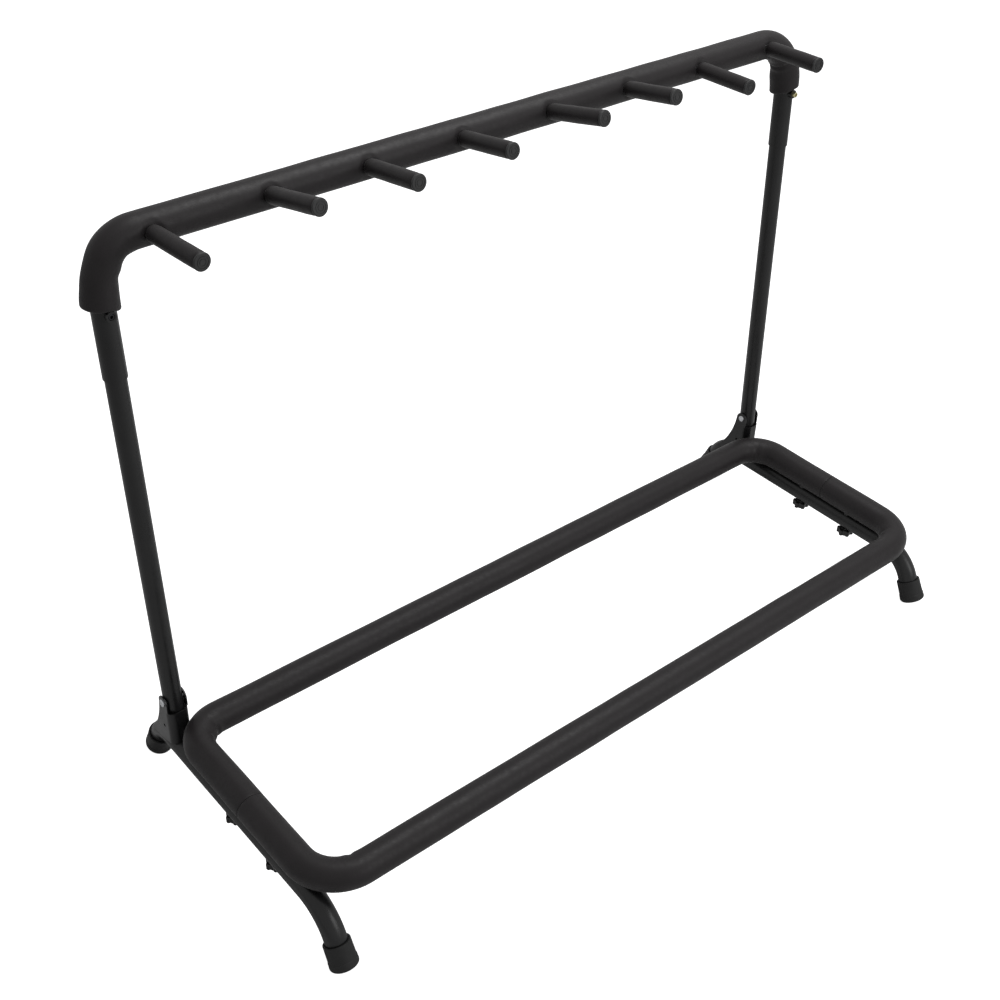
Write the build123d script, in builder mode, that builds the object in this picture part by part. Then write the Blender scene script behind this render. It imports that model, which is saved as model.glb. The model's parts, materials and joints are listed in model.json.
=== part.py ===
"""Folding floor rack for a row of guitars: padded base ring, two legs and a fold-down back frame with pegs.

Axes: +X to the rack's right, +Y to its back, +Z up. The floor is z = 0 and the origin is under the middle.
"""

import os
from math import cos, radians, sin

from build123d import *

# ---- overall layout ----
side_x = 433.0  # legs, side bars and uprights stand in the planes x = -side_x and x = +side_x
front_bar_y = -147.79  # axis of the ring's front bar
front_bar_z = 88.5
base_depth = 254.3  # front bar axis to rear bar axis
base_slope = 1.9  # degrees that the ring and the legs fall towards the back
pivot_v = 274.0  # pivot behind the front bar, along the ring's plane
pivot_w = 34.5  # pivot above the ring's plane
back_lean = 4.5  # degrees that the back frame leans back
top_bar_rise = 505.0  # pivot to the top bar's axis, along the uprights

# ---- tubes and foam ----
tube_radius = 10.0
tube_wall = 1.5
corner_radius = 45.0  # centreline of the ring's and the top bar's corners
base_foam_radius = 16.45
top_foam_radius = 15.85
ring_seam = 127.0  # where the front and the rear half of the ring meet, behind the front bar
swage_length = 25.0
swage_radius = 8.4
swage_wall = 1.4
swage_root = 10.0  # length over which the swaged end is joined to its tube

# ---- legs and boots ----
leg_radius = 11.5
leg_drop = 28.1  # leg axis under the ring's plane
front_bend_v = 32.4
front_bend_radius = 50.0
front_bend_angle = 61.6
rear_bend_v = 286.0
rear_bend_radius = 32.5
rear_bend_angle = 66.3
boot_length = 27.0
boot_rim_radius = 14.0
boot_rim_round = 0.5
boot_lead_in = (0.6, 1.2)  # width and depth of the bevel at the boot's mouth
boot_step_depth = 18.0  # rim to the step in the boot's wall
boot_step_height = 0.5
boot_step_gain = 0.4  # how much the boot widens at the step
boot_sole_radius = 15.1
boot_sole_round = 3.0
boot_sole_thickness = 5.3
boot_hollow_radius = 6.5
boot_hollow_depth = 1.2
sole_flat = 0.8  # how far the loaded rubber is pressed flat against the floor

# ---- hinge brackets, in the base's plane and measured from the pivot ----
bracket_sheet = 1.5
bracket_gap = 0.3  # sheet to the sides of the upright
bracket_front = -11.2  # inner face of the folded front wall
bracket_corner = 7.0  # inner radius of the folds
ear_radius = 8.0
front_wall_top = -10.6  # clear of the upright when it lies folded forward
front_wall_bottom = -52.5
plate_foot = (11.6, -59.0)
plate_tip = (36.8, -62.5)
plate_flare = (15.1, -28.9)
vent_hole_place = (3.4, -34.5)
vent_hole_radius = 1.9
pin_radius = 3.0
running_clearance = 0.05
rivet_head_radius = 4.4
rivet_head_height = 1.6
rivet_tail_radius = 4.0
rivet_tail_height = 1.2
rivet_round = 1.0

# ---- knobs ----
knob_spacing = 75.0  # between the two knobs of a side, centred on the ring's seam
knob_lobes = 6
knob_lobe_radius = 2.7
knob_lobe_reach = 7.8  # bolt axis to the centre of a lobe
knob_core_radius = 8.3
knob_height = 8.0
knob_round = 1.2
knob_boss_height = 2.0
knob_boss_radius = 6.0
knob_floor = 2.5  # plastic under the stud
knob_clearance = 0.3
stud_radius = 3.0
stud_top = -2.5  # upper end of the studs, from the ring's plane
stud_chamfer = 0.6
rivet_nut_radius = 4.4
rivet_nut_flange = 0.8
rivet_nut_rim = 1.1
rivet_nut_length = 9.0
spacer_radius = 6.5
spacer_bore = 3.3
spacer_seat = 4.0  # how far the spacers reach down beside the top of the leg

# ---- back frame ----
upright_foot = -18.0  # lower end of the uprights, from the pivot
upright_head = 413.0
sleeve_bottom = 378.0
sleeve_top = 448.0
sleeve_radius = 11.2
slip_clearance = 0.1
head_gap = 0.2  # top tube to upright, inside the sleeve
foam_clearance = 0.4
lock_screw_height = 442.5
lock_screw_radius = 3.0
lock_screw_length = 5.0
lock_screw_chamfer = 0.5
lock_socket_flats = 3.0
lock_socket_depth = 2.5
lock_nut_radius = 4.8
lock_nut_root = 8.0
lock_nut_face = 15.2  # outer face of the lock nuts, from the upright's axis
lock_screw_outer = {"left": 15.15, "right": 19.0}  # left one driven home, right one backed out

# ---- pegs ----
peg_pitch = 110.0
peg_reach = 87.6  # bar axis to the face of the end cap
peg_rod_radius = 5.0
peg_rod_wall = 1.2
peg_foam_radius = 8.3
peg_foam_gap = 0.45  # shadow gap between the peg's foam and the top bar's foam
cap_flange = 2.2
cap_gap = 0.6
cap_round = 0.9
cap_grooves = (5.2, 3.0)  # radii of the two rings sunk into the cap's face
groove_size = 0.35  # depth and half width of those rings
plug_length = 12.0
# each peg as welded, from left to right: upward tilt and sideways angle in degrees, and shift along the bar
peg_welds = [
    (-1.5, 4, 0),
    (8.5, 3.5, 6.5),
    (5, 2, 2.4),
    (6.5, 1, 2.4),
    (9, 4, 4),
    (8.5, -2.5, 1.4),
    (-0.5, -2, -1),
    (0, -3.5, 0),
]

cutter_reach = 40.0  # length of cutters that pass right through a piece
same_radius = 0.01  # edges are told apart by their radius to within this
sides = {"left": -side_x, "right": side_x}
inner_radius = tube_radius - tube_wall
os.makedirs("parts", exist_ok=True)


def leaning_plane(origin, angle):
    """A plane with x along +X whose normal leans back from +Z by an angle in degrees."""
    return Plane(origin=origin, x_dir=(1, 0, 0), z_dir=(0, sin(radians(angle)), cos(radians(angle))))


def side_plane(frame, x):
    """The vertical plane at x whose two axes are the depth and the normal of a leaning plane."""
    return Plane(origin=frame.from_local_coords((x, 0, 0)), x_dir=frame.y_dir, z_dir=frame.x_dir)


base = leaning_plane((0, front_bar_y, front_bar_z), base_slope)
hinge = leaning_plane(base.from_local_coords((0, pivot_v, pivot_w)), base_slope)
back = leaning_plane(hinge.origin, back_lean)
back_face = Plane(origin=back.origin, x_dir=back.x_dir, z_dir=-back.y_dir)
top_axis = Plane(origin=back.offset(top_bar_rise).origin, x_dir=back.y_dir, z_dir=back.x_dir)
knob_depths = {"front": ring_seam - knob_spacing / 2, "rear": ring_seam + knob_spacing / 2}


def save(piece, name):
    """Label a finished piece and write its STEP file."""
    piece.part.label = name
    export_step(piece.part, f"parts/{name}.step")


def along(plane):
    """The axis through a plane's origin along its normal."""
    return Axis(plane.origin, plane.z_dir)


def tube_section(path, outer, inner):
    """Sweep a round section along a wire inside the part being built."""
    with BuildSketch(Plane(origin=path @ 0, z_dir=path % 0)) as section:
        Circle(outer)
        Circle(inner, mode=Mode.SUBTRACT)
    sweep(section.sketch, path=path)


def drill(plane, radius, start, length):
    """Drill a round hole along a plane's normal, from start over a length."""
    with BuildSketch(plane.offset(start)) as section:
        Circle(radius)
    extrude(section.sketch, amount=length, mode=Mode.SUBTRACT)


def disc(plane, radius, start, length):
    """Add a round solid along a plane's normal."""
    with BuildSketch(plane.offset(start)) as section:
        Circle(radius)
    extrude(section.sketch, amount=length)


def ring(plane, outer, inner, start, length):
    """Add a round washer or sleeve shape along a plane's normal."""
    with BuildSketch(plane.offset(start)) as section:
        Circle(outer)
        Circle(inner, mode=Mode.SUBTRACT)
    extrude(section.sketch, amount=length)


def knob_plane(x, depth):
    """The plane of a knob's bolt: its origin on the ring's side bar, its normal along the bolt."""
    return Plane(origin=base.from_local_coords((x, depth, 0)), x_dir=base.x_dir, z_dir=base.z_dir)


def pivot_plane(x):
    """The plane of a pivot rivet: its origin on an upright's axis, its normal pointing outwards."""
    outwards = (1, 0, 0) if x > 0 else (-1, 0, 0)
    return Plane(origin=back.from_local_coords((x, 0, 0)), x_dir=back.y_dir, z_dir=outwards)


def upright_plane(x):
    """The plane square to an upright at its pivot."""
    return Plane(origin=back.from_local_coords((x, 0, 0)), x_dir=back.x_dir, z_dir=back.z_dir)


def lock_plane(x):
    """The plane of a lock screw: its origin on the upright's axis, its normal pointing to the front."""
    origin = back.from_local_coords((x, 0, lock_screw_height))
    return Plane(origin=origin, x_dir=back.x_dir, z_dir=-back.y_dir)


# ---- legs ----
def straight_to_floor(bend_end, tilt):
    """Length from a bend's end to the sole's centre, for a boot tilted from the vertical."""
    round_part = boot_sole_round * (1 - cos(tilt))
    edge_drop = (boot_sole_radius - boot_sole_round) * sin(tilt) + round_part
    return (bend_end.Z + sole_flat - edge_drop) / cos(tilt)


def leg_path(x, end_offset):
    """The leg's centreline, with both ends stopping end_offset short of the soles' centres."""
    plane = side_plane(base, x)
    front_tilt = radians(90 - front_bend_angle + base_slope)
    rear_tilt = radians(90 - rear_bend_angle - base_slope)
    with BuildLine(plane) as path:
        Line((front_bend_v, -leg_drop), (rear_bend_v, -leg_drop))
        front = JernArc((front_bend_v, -leg_drop), (-1, 0), front_bend_radius, front_bend_angle)
        rear = JernArc((rear_bend_v, -leg_drop), (1, 0), rear_bend_radius, -rear_bend_angle)
        for bend, tilt in ((front, front_tilt), (rear, rear_tilt)):
            length = straight_to_floor(bend @ 1, tilt) - end_offset
            end = plane.to_local_coords(bend @ 1 + (bend % 1) * length)
            start = plane.to_local_coords(bend @ 1)
            Line((start.X, start.Y), (end.X, end.Y))
    return path.wires()[0]


leg_envelopes = {}
stud_bore = stud_radius + running_clearance
for side, x in sides.items():
    path = leg_path(x, boot_sole_thickness)
    with BuildPart() as leg_envelope:
        with BuildSketch(Plane(origin=path @ 0, z_dir=path % 0)):
            Circle(leg_radius)
        sweep(path=path)
    leg_envelopes[side] = leg_envelope.part

    with BuildPart() as leg:
        tube_section(path, leg_radius, leg_radius - tube_wall)
        for depth in knob_depths.values():
            drill(knob_plane(x, depth), stud_bore, -leg_drop - cutter_reach / 2, cutter_reach)
    save(leg, f"{side}_leg")


# ---- boots ----
def boot_planes(x):
    """Planes at the boots' rims, with their normals pointing down along the leg's ends."""
    path = leg_path(x, 0)
    ends = sorted(((path @ t, (path % t) * sign) for t, sign in ((0, -1), (1, 1))), key=lambda e: e[0].Y)
    for name, (sole, direction) in zip(("front", "rear"), ends):
        yield name, Plane(origin=sole - direction * boot_length, x_dir=(1, 0, 0), z_dir=direction)


bore_depth = boot_length - boot_sole_thickness
bevel_width, bevel_depth = boot_lead_in
for side, x in sides.items():
    for end, rim in boot_planes(x):
        with BuildPart() as boot:
            with BuildSketch(Plane(origin=rim.origin, x_dir=rim.x_dir, z_dir=-rim.y_dir)):
                with BuildLine():
                    Polyline(
                        (0, bore_depth),
                        (leg_radius, bore_depth),
                        (leg_radius, bevel_depth),
                        (leg_radius + bevel_width, 0),
                        (boot_rim_radius, 0),
                        (boot_sole_radius - 2 * boot_step_gain, boot_step_depth),
                        (boot_sole_radius - boot_step_gain, boot_step_depth + boot_step_height),
                        (boot_sole_radius, boot_length),
                        (boot_hollow_radius, boot_length),
                        (boot_hollow_radius - 1, boot_length - boot_hollow_depth),
                        (0, boot_length - boot_hollow_depth),
                        close=True,
                    )
                make_face()
            revolve(axis=along(rim))
            for radius, rounding in ((boot_sole_radius, boot_sole_round), (boot_rim_radius, boot_rim_round)):
                circles = boot.edges().filter_by(GeomType.CIRCLE)
                fillet([edge for edge in circles if abs(edge.radius - radius) < same_radius], rounding)
            split(bisect_by=Plane.XY, keep=Keep.TOP)
        save(boot, f"{side}_{end}_boot")


# ---- hinge brackets: a channel folded round the upright, welded onto each leg, with flat ears on top ----
channel_inside = tube_radius + bracket_gap
channel_outside = channel_inside + bracket_sheet
wall_outside = bracket_front - bracket_sheet
channel_depth = 60.0
for side, x in sides.items():
    with BuildPart() as bracket:
        with BuildSketch(hinge.offset(plate_tip[1])):
            for half, front, radius, mode in (
                (channel_outside, wall_outside, bracket_corner + bracket_sheet, Mode.ADD),
                (channel_inside, bracket_front, bracket_corner, Mode.SUBTRACT),
            ):
                with Locations((x, front + channel_depth / 2)):
                    RectangleRounded(2 * half, channel_depth, radius, mode=mode)
        extrude(amount=front_wall_top - plate_tip[1])
        with BuildSketch(hinge.offset(front_wall_top)):
            for ear_x in (x - channel_inside - bracket_sheet / 2, x + channel_inside + bracket_sheet / 2):
                with Locations((ear_x, 0)):
                    Rectangle(bracket_sheet, channel_depth)
        extrude(amount=ear_radius - front_wall_top)
        with BuildSketch(side_plane(hinge, x)):
            with BuildLine():
                ThreePointArc((-ear_radius, 0), (0, ear_radius), (ear_radius, 0))
                ThreePointArc((ear_radius, 0), plate_flare, plate_tip)
                Polyline(
                    plate_tip,
                    plate_foot,
                    (wall_outside, front_wall_bottom),
                    (wall_outside, front_wall_top),
                    (-ear_radius, front_wall_top),
                    (-ear_radius, 0),
                )
            make_face()
        extrude(amount=channel_outside, both=True, mode=Mode.INTERSECT)
        add(leg_envelopes[side], mode=Mode.SUBTRACT)
        drill(pivot_plane(x), pin_radius + running_clearance, -cutter_reach / 2, cutter_reach)
        with BuildSketch(side_plane(hinge, x).offset(-cutter_reach / 2)):
            with Locations(vent_hole_place):
                Circle(vent_hole_radius)
        extrude(amount=cutter_reach, mode=Mode.SUBTRACT)
    save(bracket, f"{side}_bracket")

# ---- pivot rivets, with a low dome head outside and a peened tail inside ----
for side, x in sides.items():
    plane = pivot_plane(x)
    with BuildPart() as pivot_rivet:
        disc(plane, rivet_head_radius, channel_outside, rivet_head_height)
        disc(plane, pin_radius, -channel_outside, 2 * channel_outside)
        disc(plane, rivet_tail_radius, -channel_outside, -rivet_tail_height)
        outer_edges = pivot_rivet.edges().sort_by(along(plane))
        fillet([outer_edges[0], outer_edges[-1]], rivet_round)
    save(pivot_rivet, f"{side}_pivot_rivet")


# ---- base ring: two U tubes, the front one swaged to enter the rear one ----
def ring_half(bar_depth):
    """Centreline of one half of the ring: from the seam round its bar and back to the seam."""
    with BuildLine(base) as line:
        FilletPolyline(
            (-side_x, ring_seam), (-side_x, bar_depth), (side_x, bar_depth), (side_x, ring_seam),
            radius=corner_radius,
        )
    return line.wires()[0]


swage_bore = swage_radius - swage_wall
ring_halves = {"front": ring_half(0), "rear": ring_half(base_depth)}
for half, path in ring_halves.items():
    with BuildPart() as base_tube:
        tube_section(path, tube_radius, inner_radius)
        if half == "front":
            for x in sides.values():
                seam_place = base.from_local_coords((x, ring_seam, 0))
                seam = Plane(origin=seam_place, x_dir=base.x_dir, z_dir=base.y_dir)
                ring(seam, tube_radius - tube_wall / 2, swage_bore, -swage_root, swage_root)
                ring(seam, swage_radius, swage_bore, 0, swage_length)
        for x in sides.values():
            drill(knob_plane(x, knob_depths[half]), rivet_nut_radius, -cutter_reach, cutter_reach - 1)
    save(base_tube, f"{half}_base_tube")

    with BuildPart() as base_foam:
        tube_section(path, base_foam_radius, tube_radius)
        for x in sides.values():
            drill(knob_plane(x, knob_depths[half]), spacer_radius, -cutter_reach, cutter_reach - 1)
    save(base_foam, f"{half}_base_foam")

# ---- rivet nuts in the ring, and the spacers that stand between ring and legs ----
knob_planes = {
    f"{side}_{end}": knob_plane(x, depth) for side, x in sides.items() for end, depth in knob_depths.items()
}
with BuildPart() as rivet_nuts:
    for plane in knob_planes.values():
        ring(plane, rivet_nut_radius + rivet_nut_rim, stud_bore, -tube_radius, -rivet_nut_flange)
        ring(plane, rivet_nut_radius, stud_bore, -tube_radius, rivet_nut_length)
save(rivet_nuts, "rivet_nuts")

with BuildPart() as ring_spacers:
    for plane in knob_planes.values():
        spacer_bottom = leg_radius - leg_drop - spacer_seat
        spacer_top = -tube_radius - rivet_nut_flange
        ring(plane, spacer_radius, spacer_bore, spacer_bottom, spacer_top - spacer_bottom)
    for leg_envelope in leg_envelopes.values():
        add(leg_envelope, mode=Mode.SUBTRACT)
save(ring_spacers, "ring_spacers")

# ---- star knobs under the legs, each with its own threaded stud ----
knob_top = -leg_drop - leg_radius - knob_clearance
knob_bottom = knob_top - knob_boss_height - knob_height
stud_bottom = knob_bottom + knob_floor
for name, plane in knob_planes.items():
    with BuildPart() as knob_grip:
        with BuildSketch(plane.offset(knob_bottom)):
            Circle(knob_core_radius)
            with PolarLocations(knob_lobe_reach, knob_lobes):
                Circle(knob_lobe_radius)
        extrude(amount=knob_height)
        grip_faces = knob_grip.faces().sort_by(along(plane))
        fillet(grip_faces[0].edges() + grip_faces[-1].edges(), knob_round)
        disc(plane, knob_boss_radius, knob_top, -knob_boss_height)
        drill(plane, stud_radius, stud_bottom, cutter_reach)
    save(knob_grip, f"{name}_knob")

    with BuildPart() as knob_stud:
        disc(plane, stud_radius, stud_bottom, stud_top - stud_bottom)
        chamfer(knob_stud.edges().sort_by(along(plane))[-1], stud_chamfer)
    save(knob_stud, f"{name}_knob_stud")

# ---- uprights and the sleeves on their heads ----
lock_bore = lock_screw_radius + running_clearance
for side, x in sides.items():
    with BuildPart() as upright:
        ring(upright_plane(x), tube_radius, inner_radius, upright_foot, upright_head - upright_foot)
        drill(pivot_plane(x), pin_radius + running_clearance, -cutter_reach / 2, cutter_reach)
    save(upright, f"{side}_upright")

    slip_radius = tube_radius + slip_clearance
    with BuildPart() as sleeve:
        ring(upright_plane(x), sleeve_radius, tube_radius, sleeve_bottom, upright_head - sleeve_bottom)
        ring(upright_plane(x), sleeve_radius, slip_radius, upright_head, sleeve_top - upright_head)
        drill(lock_plane(x), lock_bore, 0, cutter_reach)
    save(sleeve, f"{side}_sleeve")

    screw_face = lock_plane(x).offset(lock_screw_outer[side])
    with BuildPart() as lock_screw:
        disc(screw_face, lock_screw_radius, 0, -lock_screw_length)
        chamfer(lock_screw.edges(), lock_screw_chamfer)
        with BuildSketch(screw_face):
            RegularPolygon(lock_socket_flats / 2, 6, major_radius=False)
        extrude(amount=-lock_socket_depth, mode=Mode.SUBTRACT)
    save(lock_screw, f"{side}_lock_screw")

with BuildPart() as lock_nuts:
    for x in sides.values():
        ring(lock_plane(x), lock_nut_radius, lock_bore, lock_nut_root, lock_nut_face - lock_nut_root)
    for x in sides.values():
        drill(upright_plane(x), sleeve_radius, sleeve_bottom, sleeve_top - sleeve_bottom)
save(lock_nuts, "lock_nuts")


# ---- top bar: a U tube that drops into the sleeves, with its foam ----
def top_path(lower_end):
    """The top bar's centreline, from a height on the left upright over to the same on the right."""
    with BuildLine(back_face) as line:
        FilletPolyline(
            (-side_x, lower_end), (-side_x, top_bar_rise), (side_x, top_bar_rise), (side_x, lower_end),
            radius=corner_radius,
        )
    return line.wires()[0]


def peg_plane(number):
    """The plane of a peg: its origin on the bar's axis, its normal along the peg."""
    tilt, yaw = (radians(angle) for angle in peg_welds[number][:2])
    x = (number - (len(peg_welds) - 1) / 2) * peg_pitch + peg_welds[number][2]
    direction = (
        back.x_dir * (sin(yaw) * cos(tilt)) - back.y_dir * (cos(yaw) * cos(tilt)) + back.z_dir * sin(tilt)
    )
    return Plane(origin=back.from_local_coords((x, 0, top_bar_rise)), z_dir=direction)


peg_planes = [peg_plane(number) for number in range(len(peg_welds))]

with BuildPart() as top_tube:
    tube_section(top_path(upright_head + head_gap), tube_radius, inner_radius)
save(top_tube, "top_tube")

with BuildPart() as top_foam:
    tube_section(top_path(sleeve_top + foam_clearance), top_foam_radius, tube_radius)
    for plane in peg_planes:
        drill(plane, peg_rod_radius, tube_radius / 2, cutter_reach)
save(top_foam, "top_foam")

# ---- pegs: a welded tube, its foam sleeve and an end cap pushed into the tube ----
rod_end = peg_reach - cap_flange
rod_bore = peg_rod_radius - peg_rod_wall
for number, plane in enumerate(peg_planes, start=1):
    with BuildPart() as peg_rod:
        ring(plane, peg_rod_radius, rod_bore, 0, rod_end)
        drill(top_axis, tube_radius, -side_x, 2 * side_x)
    save(peg_rod, f"peg_{number}_rod")

    with BuildPart() as peg_foam:
        ring(plane, peg_foam_radius, peg_rod_radius, 0, rod_end - cap_gap)
        drill(top_axis, top_foam_radius + peg_foam_gap, -side_x, 2 * side_x)
    save(peg_foam, f"peg_{number}_foam")

    with BuildPart() as peg_cap:
        disc(plane, peg_foam_radius, rod_end, cap_flange)
        fillet(peg_cap.edges().sort_by(along(plane))[-1], cap_round)
        disc(plane, rod_bore, rod_end, -plug_length)
        with BuildSketch(plane.offset(peg_reach - groove_size)):
            for groove_radius in cap_grooves:
                Circle(groove_radius + groove_size)
                Circle(groove_radius - groove_size, mode=Mode.SUBTRACT)
        extrude(amount=cap_flange, mode=Mode.SUBTRACT)
    save(peg_cap, f"peg_{number}_cap")
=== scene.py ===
"""Looks of the folding guitar rack: foam sleeves, materials, studio and camera around the CAD frame."""

import json
import math

import bpy
from mathutils import Matrix, Vector, noise


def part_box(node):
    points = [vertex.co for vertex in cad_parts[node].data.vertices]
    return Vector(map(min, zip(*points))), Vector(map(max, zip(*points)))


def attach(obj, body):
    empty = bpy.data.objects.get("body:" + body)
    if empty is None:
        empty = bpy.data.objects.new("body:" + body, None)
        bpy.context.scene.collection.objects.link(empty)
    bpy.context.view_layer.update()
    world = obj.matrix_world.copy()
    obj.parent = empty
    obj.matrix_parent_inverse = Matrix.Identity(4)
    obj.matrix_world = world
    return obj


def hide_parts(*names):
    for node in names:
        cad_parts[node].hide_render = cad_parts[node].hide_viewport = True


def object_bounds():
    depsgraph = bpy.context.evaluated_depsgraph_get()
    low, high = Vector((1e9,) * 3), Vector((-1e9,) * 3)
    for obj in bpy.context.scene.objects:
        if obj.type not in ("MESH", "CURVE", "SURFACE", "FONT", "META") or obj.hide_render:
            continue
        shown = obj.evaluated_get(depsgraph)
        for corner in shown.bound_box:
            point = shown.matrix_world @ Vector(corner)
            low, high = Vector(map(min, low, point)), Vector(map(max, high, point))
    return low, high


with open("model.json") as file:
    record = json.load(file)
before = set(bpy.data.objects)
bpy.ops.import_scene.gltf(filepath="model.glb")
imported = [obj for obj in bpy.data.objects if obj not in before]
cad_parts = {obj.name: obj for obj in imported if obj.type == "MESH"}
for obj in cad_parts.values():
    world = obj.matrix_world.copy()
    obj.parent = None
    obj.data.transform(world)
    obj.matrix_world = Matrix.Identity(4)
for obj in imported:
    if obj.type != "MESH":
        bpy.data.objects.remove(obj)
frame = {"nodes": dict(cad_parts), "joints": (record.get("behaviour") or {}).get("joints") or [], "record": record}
cad_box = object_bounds()

MM = 0.001
joints = {joint["name"]: joint for joint in frame["joints"]}

# ---- driving sizes, in metres ----
FOAM_BORE = 10.1 * MM
BASE_FOAM_RADIUS = 16.45 * MM
TOP_FOAM_RADIUS = 15.85 * MM
TUBE_RADIUS = 10.0 * MM
PEG_FOAM_RADIUS = 8.3 * MM
PEG_BORE = 5.05 * MM
PEG_COUNT = 8
SLEEVE_RADIUS = 11.2 * MM
FOAM_GAP = 0.4 * MM
RING_SEGMENTS = 72
BORE_STEPS = 4  # rings of the bore are this much wider apart than those outside

# ---- the frame's own directions and places ----
ALONG = Vector((1, 0, 0))
BASE_NORMAL = Vector(joints["left_front_knob_turn"]["axis"])
BASE_BACK = BASE_NORMAL.cross(ALONG)
BACK_UP = Vector(joints["top_bar_lift"]["axis"])
PIVOT = Vector(joints["back_frame_fold"]["pos_m"])
upright_low, upright_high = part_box("right_upright")
SIDE_X = (upright_low.x + upright_high.x) / 2


def front_bar_centre():
    """The axis of the ring's front bar: its tube touches the lowest y and the highest z of its box."""
    low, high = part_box("front_base_tube")
    return Vector((0, low.y + TUBE_RADIUS, high.z - TUBE_RADIUS))


def rear_bar_centre():
    """The axis of the ring's rear bar, which lies lower than the rest of its tube."""
    low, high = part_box("rear_base_tube")
    return Vector((0, high.y - TUBE_RADIUS, low.z + TUBE_RADIUS))


FRONT_BAR = front_bar_centre()
BASE_DEPTH = (rear_bar_centre() - FRONT_BAR).dot(BASE_BACK)
knob_places = [Vector(joints[f"left_{end}_knob_turn"]["pos_m"]) for end in ("front", "rear")]
SEAM_DEPTH = ((knob_places[0] + knob_places[1]) / 2 - FRONT_BAR).dot(BASE_BACK)


# ---- materials ----
NOISE_LOW = 0.3  # a noise texture stays between these two for the most part
NOISE_HIGH = 0.7


def new_material(name, color, roughness, metallic=0.0):
    """A Principled material with its node tree, and the nodes that a finish is built on."""
    material = bpy.data.materials.new(name)
    material.use_nodes = True
    nodes = material.node_tree.nodes
    shader = nodes["Principled BSDF"]
    shader.inputs["Base Color"].default_value = (*color, 1)
    shader.inputs["Roughness"].default_value = roughness
    shader.inputs["Metallic"].default_value = metallic
    coordinates = nodes.new("ShaderNodeTexCoord")
    return material, material.node_tree, shader, coordinates.outputs["Object"]


def noise_texture(tree, coordinates, size, detail=2.0, roughness=0.5):
    """A noise texture whose features measure about size metres."""
    texture = tree.nodes.new("ShaderNodeTexNoise")
    texture.inputs["Scale"].default_value = 1 / size
    texture.inputs["Detail"].default_value = detail
    texture.inputs["Roughness"].default_value = roughness
    tree.links.new(coordinates, texture.inputs["Vector"])
    return texture.outputs["Fac"]


def color_by(tree, shader, factor, dark, light):
    """Colour the base from dark to light by a texture."""
    ramp = tree.nodes.new("ShaderNodeValToRGB")
    for element, position, color in zip(ramp.color_ramp.elements, (0.35, 0.65), (dark, light)):
        element.position = position
        element.color = (*color, 1)
    tree.links.new(factor, ramp.inputs["Fac"])
    tree.links.new(ramp.outputs["Color"], shader.inputs["Base Color"])


def roughness_by(tree, shader, factor, low, high):
    """Vary the roughness from low to high by a texture."""
    span = tree.nodes.new("ShaderNodeMapRange")
    span.inputs["From Min"].default_value = NOISE_LOW
    span.inputs["From Max"].default_value = NOISE_HIGH
    span.inputs["To Min"].default_value = low
    span.inputs["To Max"].default_value = high
    tree.links.new(factor, span.inputs["Value"])
    tree.links.new(span.outputs["Result"], shader.inputs["Roughness"])


def bump_by(tree, shader, layers):
    """Chain bump nodes: each layer is a texture output, a height in metres and a strength."""
    previous = None
    for factor, height, strength in layers:
        bump = tree.nodes.new("ShaderNodeBump")
        bump.inputs["Distance"].default_value = height
        bump.inputs["Strength"].default_value = strength
        tree.links.new(factor, bump.inputs["Height"])
        if previous:
            tree.links.new(previous.outputs["Normal"], bump.inputs["Normal"])
        previous = bump
    tree.links.new(previous.outputs["Normal"], shader.inputs["Normal"])


def foam_material():
    """Charcoal closed-cell foam: matte skin with fine cells and soft mottling."""
    material, tree, shader, place = new_material("foam", (0.014, 0.0138, 0.014), 0.5)
    shader.inputs["Specular IOR Level"].default_value = 0.3
    shader.inputs["Sheen Weight"].default_value = 0.12
    shader.inputs["Sheen Roughness"].default_value = 0.35
    cells = noise_texture(tree, place, size=0.9 * MM, detail=3)
    mottle = noise_texture(tree, place, size=22 * MM, detail=4)
    creases = noise_texture(tree, place, size=5 * MM, detail=2)
    color_by(tree, shader, mottle, (0.0136, 0.0113, 0.0122), (0.0168, 0.0142, 0.0153))
    roughness_by(tree, shader, creases, 0.46, 0.56)
    bump_by(tree, shader, [(creases, 0.12 * MM, 0.12), (cells, 0.05 * MM, 0.3)])
    return material


def powder_coat_material():
    """Satin black powder coat with fine orange peel."""
    material, tree, shader, place = new_material("powder_coat", (0.012, 0.012, 0.0125), 0.4)
    peel = noise_texture(tree, place, size=1.1 * MM, detail=2)
    drift = noise_texture(tree, place, size=25 * MM, detail=3)
    shader.inputs["Specular IOR Level"].default_value = 0.4
    color_by(tree, shader, drift, (0.0105, 0.0105, 0.011), (0.014, 0.014, 0.0145))
    roughness_by(tree, shader, drift, 0.26, 0.36)
    bump_by(tree, shader, [(peel, 0.05 * MM, 0.35)])
    return material


def rubber_material():
    """Moulded black rubber, matte and a little dusty."""
    material, tree, shader, place = new_material("boot_rubber", (0.014, 0.014, 0.014), 0.6)
    grain = noise_texture(tree, place, size=0.6 * MM, detail=2)
    dust = noise_texture(tree, place, size=9 * MM, detail=4)
    shader.inputs["Specular IOR Level"].default_value = 0.35
    color_by(tree, shader, dust, (0.008, 0.008, 0.008), (0.02, 0.02, 0.02))
    roughness_by(tree, shader, dust, 0.5, 0.75)
    bump_by(tree, shader, [(grain, 0.12 * MM, 0.6)])
    return material


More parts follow.
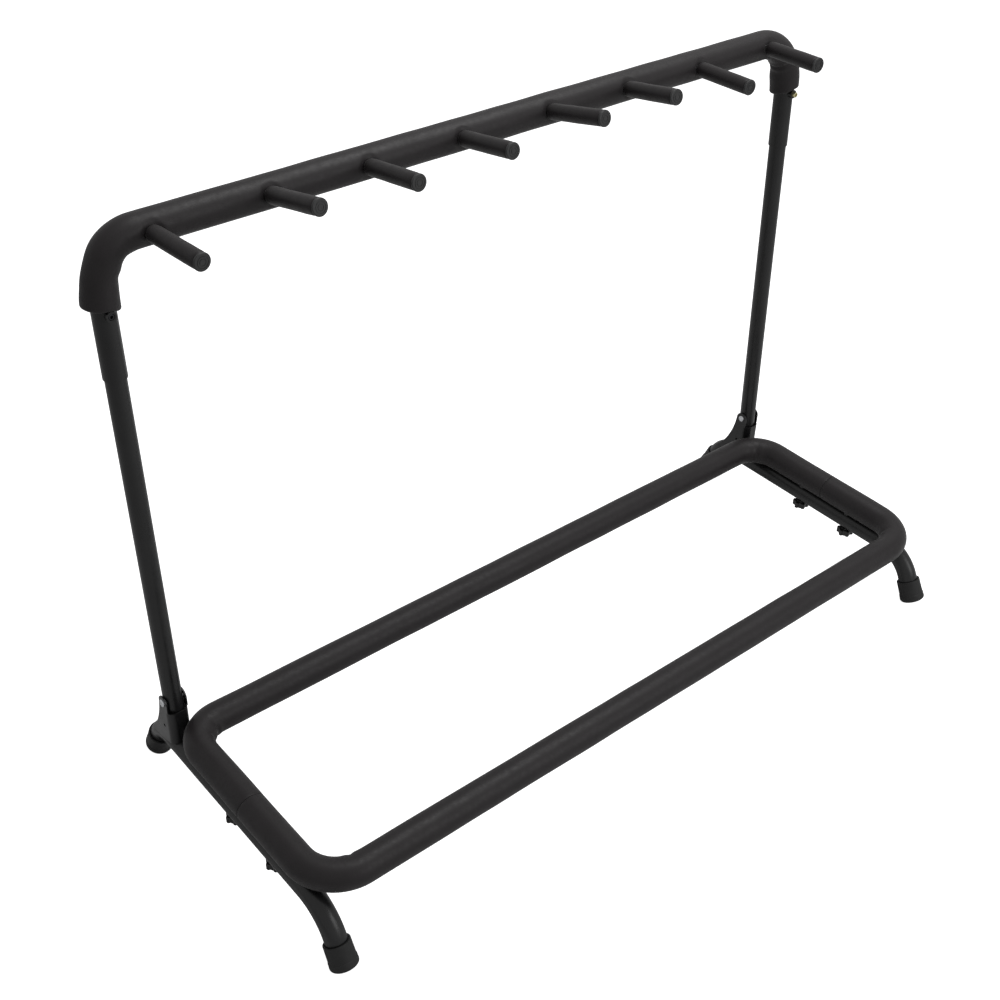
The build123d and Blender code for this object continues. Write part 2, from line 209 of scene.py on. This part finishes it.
def cap_material():
    """Moulded charcoal plastic of the pegs' end caps."""
    material, tree, shader, place = new_material("cap_plastic", (0.022, 0.022, 0.0225), 0.5)
    grain = noise_texture(tree, place, size=0.5 * MM, detail=2)
    drift = noise_texture(tree, place, size=6 * MM, detail=2)
    color_by(tree, shader, drift, (0.019, 0.019, 0.0195), (0.026, 0.026, 0.0265))
    bump_by(tree, shader, [(grain, 0.03 * MM, 0.3)])
    return material


def knob_material():
    """Glossy black plastic of the star knobs."""
    material, tree, shader, place = new_material("knob_plastic", (0.012, 0.012, 0.012), 0.24)
    scuffs = noise_texture(tree, place, size=5 * MM, detail=5)
    roughness_by(tree, shader, scuffs, 0.2, 0.34)
    flow = noise_texture(tree, place, size=3 * MM, detail=1)
    bump_by(tree, shader, [(flow, 0.05 * MM, 0.15)])
    return material


def plated_material(name, dark, light, roughness):
    """Plated steel with the faint clouding of a passivated zinc surface."""
    material, tree, shader, place = new_material(name, light, roughness, metallic=1.0)
    cloud = noise_texture(tree, place, size=3 * MM, detail=4)
    grain = noise_texture(tree, place, size=0.4 * MM, detail=2)
    color_by(tree, shader, cloud, dark, light)
    roughness_by(tree, shader, cloud, roughness - 0.06, roughness + 0.08)
    bump_by(tree, shader, [(grain, 0.02 * MM, 0.3)])
    return material


foam = foam_material()
powder_coat = powder_coat_material()
finishes = {
    "black_powder_coat": powder_coat,
    "black_foam": foam,
    "boot_rubber": rubber_material(),
    "black_plastic": cap_material(),
    "knob_plastic": knob_material(),
    "zinc_plate": plated_material("zinc", (0.5, 0.51, 0.53), (0.72, 0.73, 0.75), 0.3),
    "yellow_zinc": plated_material("yellow_zinc", (0.62, 0.57, 0.3), (0.85, 0.8, 0.52), 0.26),
}
# The driven-in left lock screw gets a dark plated material in place of its yellow zinc: painted shade of the
# recess it sits in.
painted_recess_shade = plated_material("painted_recess_shade", (0.03, 0.03, 0.032), (0.06, 0.06, 0.065), 0.34)
for entry in frame["record"]["subparts"]:
    node = frame["nodes"][entry["node"]]
    node.data.materials.clear()
    finish = painted_recess_shade if entry["node"] == "left_lock_screw" else finishes[entry["material_slot"]]
    node.data.materials.append(finish)


# ---- sleeves of foam along a path ----
def smooth_step(low, high, value):
    """0 below low, 1 above high, smooth between."""
    t = min(max((value - low) / (high - low), 0), 1)
    return t * t * (3 - 2 * t)


def hump(value, centre, width):
    """A bell curve of height 1."""
    return math.exp(-(((value - centre) / width) ** 2))


class UPath:
    """A U in a plane: up one arm, round a corner, along the bar, round a corner and down the other arm."""

    def __init__(self, origin, outwards, arm_start, bar, radii):
        self.origin, self.outwards = origin, outwards
        self.arm_start = arm_start
        self.bar = bar
        self.turn = 1 if bar > arm_start else -1
        self.radii = radii
        arms = [abs(bar - arm_start) - radius for radius in radii]
        bends = [math.pi / 2 * radius for radius in radii]
        self.lengths = [arms[0], bends[0], 2 * SIDE_X - sum(radii), bends[1], arms[1]]
        self.length = sum(self.lengths)
        self.bend_spans = [
            (arms[0], arms[0] + bends[0]),
            (self.length - arms[1] - bends[1], self.length - arms[1]),
        ]

    def at(self, s):
        """Point, tangent and inward normal at arc length s from the left arm's end."""
        first, second = self.radii
        arm, bend, across, last_bend, _ = self.lengths
        if s <= arm:
            place, heading = (-SIDE_X, s), 90
        elif s <= arm + bend:
            angle = (s - arm) / first
            place = (-SIDE_X + first - first * math.cos(angle), arm + first * math.sin(angle))
            heading = 90 - math.degrees(angle)
        elif s <= arm + bend + across:
            place, heading = (-SIDE_X + first + s - arm - bend, arm + first), 0
        elif s <= arm + bend + across + last_bend:
            angle = (s - arm - bend - across) / second
            rise = self.lengths[4] + second * math.cos(angle)
            place = (SIDE_X - second + second * math.sin(angle), rise)
            heading = -math.degrees(angle)
        else:
            place, heading = (SIDE_X, self.length - s), -90
        across_part, up_part = math.cos(math.radians(heading)), math.sin(math.radians(heading))
        out = self.outwards * self.turn
        point = self.origin + ALONG * place[0] + self.outwards * self.arm_start + out * place[1]
        tangent = ALONG * across_part + out * up_part
        inward = ALONG * up_part - out * across_part
        return point, tangent, inward


class StraightPath:
    """A straight run from a point along a direction."""

    def __init__(self, start, direction, length):
        self.start, self.direction, self.length = start, direction, length
        self.side = direction.orthogonal().normalized()

    def at(self, s):
        return self.start + self.direction * s, self.direction, self.side


def sleeve(name, path, bore_at, nominal, radius_at, step, lip, shift_at=None, segments=RING_SEGMENTS):
    """A closed foam sleeve along a path.

    bore_at(s) gives the radius of its bore, and radius_at(s, angle, point) its outer radius at a point that
    lies at the nominal radius. shift_at(s, angle) moves the surface along the path.
    """
    # the rounded edge of an end: distance from the end, and how far the surface is cut back there
    lip_profile = [(0.0, lip), (0.15 * lip, 0.6 * lip), (0.5 * lip, 0.2 * lip), (lip, 0.0)]
    count = max(2, round((path.length - 2 * lip) / step))
    middle = [(lip + (path.length - 2 * lip) * i / count, 0.0) for i in range(1, count)]
    ends = [(path.length - s, cut) for s, cut in reversed(lip_profile)]
    outside = lip_profile + middle + ends
    bore_count = max(2, round(path.length / (BORE_STEPS * step)))
    inside = [path.length * (1 - i / bore_count) for i in range(bore_count + 1)]

    vertices = []
    for s, cut in [*outside, *((s, None) for s in inside)]:
        point, tangent, inward = path.at(s)
        binormal = tangent.cross(inward)
        for j in range(segments):
            angle = 2 * math.pi * j / segments
            radial = inward * math.cos(angle) + binormal * math.sin(angle)
            radius = bore_at(s) if cut is None else radius_at(s, angle, point + radial * nominal) - cut
            shift = shift_at(s, angle) if shift_at else 0.0
            vertices.append(point + radial * radius + tangent * shift)
    rings = len(outside) + len(inside)
    faces = []
    for i in range(rings):
        for j in range(segments):
            a, b = i * segments + j, i * segments + (j + 1) % segments
            c, d = ((i + 1) % rings) * segments + (j + 1) % segments, ((i + 1) % rings) * segments + j
            faces.append((a, b, c, d))
    mesh = bpy.data.meshes.new(name)
    mesh.from_pydata([tuple(v) for v in vertices], [], faces)
    mesh.validate()
    mesh.update()
    mesh.shade_smooth()
    mesh.materials.append(foam)
    piece = bpy.data.objects.new(name, mesh)
    bpy.context.collection.objects.link(piece)
    return piece


def waviness(point, size, depth, seed):
    """Soft unevenness of a foam surface."""
    return depth * noise.noise(point / size + Vector((seed, 0, 0)))


RIDGE_HEIGHT = 0.55  # of the ridges beside a fold, as a share of its depth
RIDGE_PLACE = 2.2  # from the fold to a ridge, in widths of the fold
RIDGE_WIDTH = 1.3  # in widths of the fold


def bend_folds(s, angle, span, folds, depth):
    """Folds of compressed foam on the inside of a bend: each fold has its place, 0 to 1, and its width."""
    inside = max(0.0, math.cos(angle)) ** 1.5
    total = 0.0
    for place, width in folds:
        centre = span[0] + (span[1] - span[0]) * place
        total -= hump(s, centre, width)
        for side in (1, -1):
            total += RIDGE_HEIGHT * hump(s, centre + side * RIDGE_PLACE * width, RIDGE_WIDTH * width)
    return total * depth * inside


# ---- top bar's foam ----
bar_rise = ((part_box("top_tube")[1].z - TUBE_RADIUS) - PIVOT.z) / BACK_UP.z
sleeve_rim = (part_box("left_sleeve")[1].z - SLEEVE_RADIUS * BACK_UP.y - PIVOT.z) / BACK_UP.z
TOP_CORNERS = (38 * MM, 49 * MM)
top_path = UPath(PIVOT, BACK_UP, sleeve_rim + FOAM_GAP, bar_rise, TOP_CORNERS)
BAR_CENTRE = PIVOT + BACK_UP * bar_rise


def off_bar(point):
    """The part of a point's offset from the top bar's axis that is square to it."""
    offset = point - BAR_CENTRE
    return offset - ALONG * offset.dot(ALONG)


def peg_line(number):
    """Root on the bar's axis, direction and length of a peg's tube, from the flat end of its rod."""
    rod = frame["nodes"][f"peg_{number}_rod"]
    turn = rod.matrix_world.to_3x3()
    end_face = max(rod.data.polygons, key=lambda face: off_bar(rod.matrix_world @ face.center).length)
    direction = (turn @ end_face.normal).normalized()
    points = [rod.matrix_world @ vertex.co for vertex in rod.data.vertices]
    reach = max(point.dot(direction) for point in points)
    at_end = [point for point in points if point.dot(direction) > reach - 0.01 * MM]
    rim = {tuple(round(part, 7) for part in point) for point in at_end}
    tip = sum((Vector(point) for point in rim), Vector()) / len(rim)
    square = direction - ALONG * direction.dot(ALONG)
    length = off_bar(tip).dot(square) / square.length_squared
    return tip - direction * length, direction, length


pegs = {number: peg_line(number) for number in range(1, PEG_COUNT + 1)}
DIMPLE_RADIUS = 9.4 * MM
DIMPLE_DEPTH = 1.7 * MM
DIMPLE_FLOOR = 0.72 * DIMPLE_RADIUS  # the dimple is flat inside this and gone outside the next
DIMPLE_RIM = 1.35 * DIMPLE_RADIUS


def peg_dimple(point):
    """How deep the pegs press the bar's foam in at a point."""
    for root, direction, _ in pegs.values():
        offset = point - root
        if abs(offset.x) < 2 * DIMPLE_RADIUS:
            along = offset.dot(direction)
            away = (offset - direction * along).length
            if along > 0:
                return DIMPLE_DEPTH * (1 - smooth_step(DIMPLE_FLOOR, DIMPLE_RIM, away))
    return 0.0


LEFT_SWELL = 1.3 * MM  # how much the left end widens, over a length
LEFT_SWELL_LENGTH = 27 * MM
LEFT_LEAN = 1.8 * MM  # the left end hangs outwards and the foam above it bulges inwards
LEFT_LEAN_LENGTH = 24 * MM
LEFT_BULGE_PLACE = 34 * MM
LEFT_BULGE_WIDTH = 11 * MM
LEFT_FOLDS = ((0.18, 5.0 * MM), (0.66, 6.0 * MM))
LEFT_FOLD_DEPTH = 0.5 * MM
RIGHT_SWELL = 0.7 * MM
RIGHT_SWELL_LENGTH = 40 * MM
RIGHT_FOLDS = ((0.62, 2.6 * MM),)
RIGHT_FOLD_DEPTH = 1.3 * MM
RIGHT_BUNCH = 2.2 * MM  # foam bunched up where the right corner ends
RIGHT_BUNCH_WIDTH = 9 * MM
RIGHT_BUNCH_ANGLE = 0.5
TOP_WAVES = 45 * MM
TOP_WAVE_DEPTH = 0.4 * MM
TOP_END_BORE = 11.9 * MM
TOP_END_OVERLAP = 9 * MM


def top_radius(s, angle, point):
    """Outer radius of the top bar's foam."""
    from_right = top_path.length - s
    inwards = math.cos(angle)
    left, right = top_path.bend_spans
    radius = TOP_FOAM_RADIUS + waviness(point, TOP_WAVES, TOP_WAVE_DEPTH, seed=3)
    radius += LEFT_SWELL * (1 - smooth_step(0, LEFT_SWELL_LENGTH, s))
    radius += RIGHT_SWELL * (1 - smooth_step(0, RIGHT_SWELL_LENGTH, from_right))
    radius += bend_folds(s, angle, left, LEFT_FOLDS, LEFT_FOLD_DEPTH)
    radius += bend_folds(s, angle, right, RIGHT_FOLDS, RIGHT_FOLD_DEPTH)
    hanging = 1 - smooth_step(0, LEFT_LEAN_LENGTH, s)
    radius += LEFT_LEAN * inwards * (hump(s, LEFT_BULGE_PLACE, LEFT_BULGE_WIDTH) - hanging)
    bunch = hump(s, right[1] - RIGHT_BUNCH_WIDTH, RIGHT_BUNCH_WIDTH)
    radius += RIGHT_BUNCH * bunch * max(0.0, math.cos(angle - RIGHT_BUNCH_ANGLE)) ** 2
    return radius - peg_dimple(point)


def top_bore(s):
    """Bore of the top bar's foam, opened up where its ends reach over the welded sleeves."""
    from_end = min(s, top_path.length - s)
    opened = 1 - smooth_step(0.5 * TOP_END_OVERLAP, TOP_END_OVERLAP, from_end)
    return FOAM_BORE + (TOP_END_BORE - FOAM_BORE) * opened


SCREW_ANGLE = -math.pi / 2  # where a lock screw points, round the upright
SCREW_NOTCH_WIDTH = 0.5
LEFT_SLANT = 3.4 * MM  # the left end is longest towards LEFT_SLANT_ANGLE
LEFT_SLANT_ANGLE = math.radians(178)
LEFT_END_DROP = 2.2 * MM
LEFT_NOTCH = 1.8 * MM  # cut back over the lock screw
LEFT_SLANT_LENGTH = 30 * MM
RIGHT_SLANT = 3.7 * MM
RIGHT_SLANT_ANGLE = math.radians(41)
RIGHT_NOTCH = 0.9 * MM
RIGHT_SLANT_LENGTH = 26 * MM


def top_end_slant(s, angle):
    """How far the surface moves along the path: the ends are slanted, and notched over the lock screws."""
    from_right = top_path.length - s
    over_screw = hump(math.remainder(angle - SCREW_ANGLE, 2 * math.pi), 0, SCREW_NOTCH_WIDTH)
    left = LEFT_SLANT * math.cos(angle - LEFT_SLANT_ANGLE) - LEFT_END_DROP + LEFT_NOTCH * over_screw
    right = RIGHT_SLANT * (math.cos(angle - RIGHT_SLANT_ANGLE) + 1) - RIGHT_NOTCH * over_screw
    left *= 1 - smooth_step(0, LEFT_SLANT_LENGTH, s)
    right *= 1 - smooth_step(0, RIGHT_SLANT_LENGTH, from_right)
    return left + right


def soft_piece(piece, node, body):
    """Hand a foam sleeve over as the looks of a CAD node."""
    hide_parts(node)
    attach(piece, body)


top_foam = sleeve(
    "top_bar_foam",
    top_path,
    top_bore,
    TOP_FOAM_RADIUS,
    top_radius,
    step=1.6 * MM,
    lip=1.8 * MM,
    shift_at=top_end_slant,
    segments=96,
)
soft_piece(top_foam, "top_foam", "top_bar")

# ---- pegs' foam ----
PEG_ROOT = 14.7 * MM  # bar axis to the start of a peg's foam
PEG_CAP_GAP = 0.7 * MM
PEG_ROOT_PINCH = 0.35 * MM  # how much the foam narrows at the bar, over a length
PEG_ROOT_PINCH_LENGTH = 5 * MM
PEG_END_PINCH = 0.25 * MM
PEG_END_PINCH_LENGTH = 4 * MM
PEG_WAVES = 18 * MM
PEG_WAVE_DEPTH = 0.2 * MM


def peg_radius(number, length):
    """Outer radius of one peg's foam, a little uneven and pinched at its ends."""

    def radius_at(s, angle, point):
        pinch = PEG_ROOT_PINCH * (1 - smooth_step(0, PEG_ROOT_PINCH_LENGTH, s))
        pinch += PEG_END_PINCH * smooth_step(length - PEG_END_PINCH_LENGTH, length, s)
        return PEG_FOAM_RADIUS + waviness(point, PEG_WAVES, PEG_WAVE_DEPTH, seed=number) - pinch

    return radius_at


for number, (root, direction, length) in pegs.items():
    path = StraightPath(root + direction * PEG_ROOT, direction, length - PEG_ROOT - PEG_CAP_GAP)
    peg_foam = sleeve(
        f"peg_{number}_sleeve",
        path,
        lambda s: PEG_BORE,
        PEG_FOAM_RADIUS,
        peg_radius(number, path.length),
        step=1.5 * MM,
        lip=1.1 * MM,
        segments=48,
    )
    soft_piece(peg_foam, f"peg_{number}_foam", "top_bar")

# ---- base ring's foam ----
ring_paths = {
    "front": UPath(FRONT_BAR, BASE_BACK, SEAM_DEPTH, 0.0, (45 * MM, 45 * MM)),
    "rear": UPath(FRONT_BAR, BASE_BACK, SEAM_DEPTH, BASE_DEPTH, (37 * MM, 38 * MM)),
}
ring_folds = {
    "front": (((0.86, 3.4 * MM),), ((0.4, 4.0 * MM),)),
    "rear": (((0.35, 3.4 * MM), (0.7, 3.4 * MM)), ((0.5, 4.0 * MM),)),
}
RING_FOLD_DEPTH = 1.0 * MM
RING_WAVES = 50 * MM
RING_WAVE_DEPTH = 0.4 * MM


def ring_radius(half, path):
    """Outer radius of one half of the ring's foam."""

    def radius_at(s, angle, point):
        radius = BASE_FOAM_RADIUS + waviness(point, RING_WAVES, RING_WAVE_DEPTH, seed=9)
        for span, folds in zip(path.bend_spans, ring_folds[half]):
            radius += bend_folds(s, angle, span, folds, RING_FOLD_DEPTH)
        return radius

    return radius_at


for half, path in ring_paths.items():
    ring_foam = sleeve(
        f"{half}_ring_foam",
        path,
        lambda s: FOAM_BORE,
        BASE_FOAM_RADIUS,
        ring_radius(half, path),
        step=2.5 * MM,
        lip=1.0 * MM,
    )
    soft_piece(ring_foam, f"{half}_base_foam", "base")


# ---- studio ----
def area_light(name, place, aim, size, power):
    """A soft square light at a place, aimed at a point."""
    light = bpy.data.lights.new(name, "AREA")
    light.shape = "SQUARE"
    light.size = size
    light.energy = power
    holder = bpy.data.objects.new(name, light)
    holder.location = place
    holder.rotation_euler = (Vector(aim) - Vector(place)).to_track_quat("-Z", "Y").to_euler()
    bpy.context.collection.objects.link(holder)


centre = (cad_box[0] + cad_box[1]) / 2
area_light("front", place=(1.0, -2.4, 1.5), aim=centre, size=1.5, power=17)
area_light("top", place=(0.7, 0.1, 2.3), aim=centre, size=1.2, power=23)

BACKDROP_SEEN = 1.0  # strength of the white world where the camera sees it
BACKDROP_LIGHT = 0.2  # and as soft light on the rack
BACKDROP_GLOSS = 0.4  # added in reflections

world = bpy.data.worlds.new("studio")
bpy.context.scene.world = world
world.use_nodes = True
world_nodes = world.node_tree.nodes
world_nodes["Background"].inputs["Color"].default_value = (1, 1, 1, 1)
paths = world_nodes.new("ShaderNodeLightPath")
brightness = world_nodes.new("ShaderNodeMapRange")
brightness.inputs["To Min"].default_value = BACKDROP_LIGHT
brightness.inputs["To Max"].default_value = BACKDROP_SEEN
reflected = world_nodes.new("ShaderNodeMapRange")
reflected.inputs["To Max"].default_value = BACKDROP_GLOSS
total = world_nodes.new("ShaderNodeMath")
for source, target in (
    (paths.outputs["Is Camera Ray"], brightness.inputs["Value"]),
    (paths.outputs["Is Glossy Ray"], reflected.inputs["Value"]),
    (brightness.outputs["Result"], total.inputs[0]),
    (reflected.outputs["Result"], total.inputs[1]),
    (total.outputs["Value"], world_nodes["Background"].inputs["Strength"]),
):
    world.node_tree.links.new(source, target)

FLOOR_REACH = 12.0
FLOOR_TINT = (0.92, 0.9)  # how pale the floor is as it lights the rack, and as the camera sees it
FLOOR_GLOW = (0.0, 0.95)  # its own light, in the same two cases
floor_mesh = bpy.data.meshes.new("floor")
floor_corners = [(x * FLOOR_REACH, y * FLOOR_REACH, 0) for x, y in ((-1, -1), (1, -1), (1, 1), (-1, 1))]
floor_mesh.from_pydata(floor_corners, [], [(0, 1, 2, 3)])
floor = bpy.data.objects.new("floor", floor_mesh)
bpy.context.collection.objects.link(floor)
floor_material, floor_tree, floor_shader, _ = new_material("floor_paint", (0.92, 0.92, 0.92), 0.9)
floor_shader.inputs["Specular IOR Level"].default_value = 0.0
floor_shader.inputs["Emission Color"].default_value = (1, 1, 1, 1)
floor_seen = floor_tree.nodes.new("ShaderNodeLightPath")
for (unseen, seen), socket in ((FLOOR_TINT, "Base Color"), (FLOOR_GLOW, "Emission Strength")):
    span = floor_tree.nodes.new("ShaderNodeMapRange")
    span.inputs["To Min"].default_value = unseen
    span.inputs["To Max"].default_value = seen
    floor_tree.links.new(floor_seen.outputs["Is Camera Ray"], span.inputs["Value"])
    floor_tree.links.new(span.outputs["Result"], floor_shader.inputs[socket])
floor_mesh.materials.append(floor_material)

# ---- camera ----
CAMERA_PLACE = Vector((-867.62, -848.09, 1196.61)) * MM
CAMERA_YAW = 41.62
CAMERA_PITCH = 38.15
CAMERA_ROLL = 3.42
CAMERA_LENS = 51.57
yaw, pitch, roll = (math.radians(angle) for angle in (CAMERA_YAW, CAMERA_PITCH, CAMERA_ROLL))
camera_data = bpy.data.cameras.new("camera")
camera_data.lens = CAMERA_LENS
camera_data.sensor_width = 36.0
camera = bpy.data.objects.new("camera", camera_data)
look = Vector((math.sin(yaw) * math.cos(pitch), math.cos(yaw) * math.cos(pitch), -math.sin(pitch)))
level = look.to_track_quat("-Z", "Y").to_matrix().to_4x4()
camera.rotation_euler = (Matrix.Rotation(roll, 4, -look) @ level).to_euler()
camera.location = CAMERA_PLACE
bpy.context.collection.objects.link(camera)
bpy.context.scene.camera = camera
bpy.context.scene.view_settings.view_transform = "Standard"
